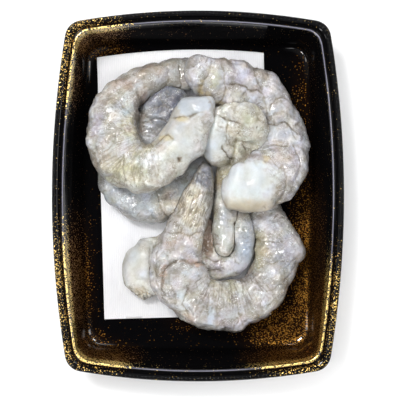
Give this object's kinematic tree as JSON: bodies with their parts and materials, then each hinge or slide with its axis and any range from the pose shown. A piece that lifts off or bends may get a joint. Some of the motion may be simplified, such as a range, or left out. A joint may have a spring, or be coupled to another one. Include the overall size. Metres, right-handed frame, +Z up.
{
  "type": "peeled shrimps in a tray",
  "caption": "Raw peeled headless shrimps curled in a heap on a white drip pad, in a shallow black rounded-rectangle foam tray with a gold-speckled rim.",
  "frame": {"origin": "middle of the tray's flat underside", "axes": "+Z up out of the tray, +Y along its long side, +X across it"},
  "size_m": [0.13, 0.165, 0.036],
  "materials": {
    "tray": "black foamed sheet under a glossy film, with clouds of gold speckle",
    "pad": "white embossed absorbent paper",
    "flesh": "raw, wet, translucent grey-white flesh"
  },
  "bodies": {
    "root": {"tray_floor": "tray", "tray_left_side": "tray", "tray_right_side": "tray", "tray_front_side": "tray", "tray_back_side": "tray", "drip_pad": "pad", "shrimp_upper_left": "flesh", "shrimp_upper_right": "flesh", "shrimp_coiled": "flesh", "shrimp_lower_front": "flesh", "shrimp_under_left": "flesh", "shrimp_under_front": "flesh"}
  },
  "joints": []
}
